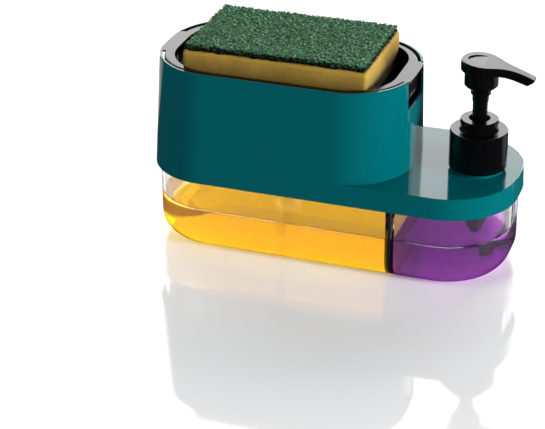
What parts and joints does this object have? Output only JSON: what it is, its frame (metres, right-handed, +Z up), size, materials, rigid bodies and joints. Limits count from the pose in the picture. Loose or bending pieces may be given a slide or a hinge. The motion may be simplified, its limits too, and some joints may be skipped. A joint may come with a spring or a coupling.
{
  "type": "soap pump caddy",
  "caption": "Soap caddy with a clear divided tank, a cover with a spring-loaded sponge tray that pumps dish soap, and a screw-on hand pump with a swivelling head.",
  "frame": {"origin": "middle of the footprint, on the surface that the caddy stands on", "axes": "+X along the caddy towards the hand pump, -Y to the front, +Z up"},
  "size_m": [0.2088, 0.087, 0.1201],
  "materials": {
    "clear_plastic": "clear, polished",
    "seal_rubber": "matt black",
    "dish_soap": "clear amber liquid",
    "hand_soap": "clear purple liquid",
    "teal_plastic": "high gloss",
    "black_plastic": "high gloss",
    "natural_plastic": "milky, unpigmented",
    "gasket_rubber": "matt",
    "steel": "bright drawn wire and polished ball",
    "foam": "open-cell foam",
    "scouring_fibre": "rough matted fibre"
  },
  "bodies": {
    "base": {"left_chamber": "clear_plastic", "right_chamber": "clear_plastic", "divider_seal": "seal_rubber", "dish_soap": "dish_soap", "hand_soap": "hand_soap"},
    "cover": {"cover_shell": "teal_plastic", "press_housing": "natural_plastic", "press_gasket": "gasket_rubber", "press_retainer": "natural_plastic", "press_dip_tube": "natural_plastic", "press_spring": "steel"},
    "press_ball": {"press_ball": "steel"},
    "tray": {"sponge_tray": "black_plastic", "press_stem": "natural_plastic", "press_piston": "gasket_rubber"},
    "sponge": {"sponge_foam": "foam", "scouring_pad": "scouring_fibre"},
    "hand_pump_unit": {"hand_housing": "black_plastic", "hand_gasket": "gasket_rubber", "hand_collar": "black_plastic", "hand_dip_tube": "natural_plastic", "hand_spring": "steel"},
    "hand_ball": {"hand_ball": "steel"},
    "closure": {"hand_closure": "black_plastic"},
    "plunger": {"hand_piston": "gasket_rubber"},
    "pump_head": {"pump_head": "black_plastic", "hand_stem": "black_plastic"}
  },
  "joints": [
    {"name": "cover_lift", "type": "slide", "parent": "base", "child": "cover", "axis": [0, 0, 1], "range_m": [0, 0.075]},
    {"name": "press_ball_lift", "type": "slide", "parent": "cover", "child": "press_ball", "axis": [0, 0, 1], "range_m": [0, 0.0015]},
    {"name": "tray_press", "type": "slide", "parent": "cover", "child": "tray", "axis": [0, 0, -1], "range_m": [0, 0.014], "stiffness_N_per_m": 600, "springref_m": -0.008, "deforming": ["press_spring"]},
    {"name": "sponge_lift", "type": "slide", "parent": "tray", "child": "sponge", "axis": [0, 0, 1], "range_m": [0, 0.06]},
    {"name": "closure_turn", "type": "hinge", "parent": "hand_pump_unit", "child": "closure", "pos_m": [0.0782, 0, 0], "axis": [0, 0, 1], "range_deg": [0, 540]},
    {"name": "pump_rise", "type": "slide", "parent": "cover", "child": "hand_pump_unit", "axis": [0, 0, 1], "range_m": [0, 0.0064]},
    {"name": "hand_ball_lift", "type": "slide", "parent": "hand_pump_unit", "child": "hand_ball", "axis": [0, 0, 1], "range_m": [0, 0.0015]},
    {"name": "hand_press", "type": "slide", "parent": "hand_pump_unit", "child": "plunger", "axis": [0, 0, -1], "range_m": [0, 0.016], "stiffness_N_per_m": 400, "springref_m": -0.01, "deforming": ["hand_spring"]},
    {"name": "head_swivel", "type": "hinge", "parent": "plunger", "child": "pump_head", "pos_m": [0.0782, 0, 0], "axis": [0, 0, 1], "continuous": true}
  ],
  "couplings": [
    {"joint": "pump_rise", "follows": "closure_turn", "m_per_rad": 0.0006737}
  ]
}
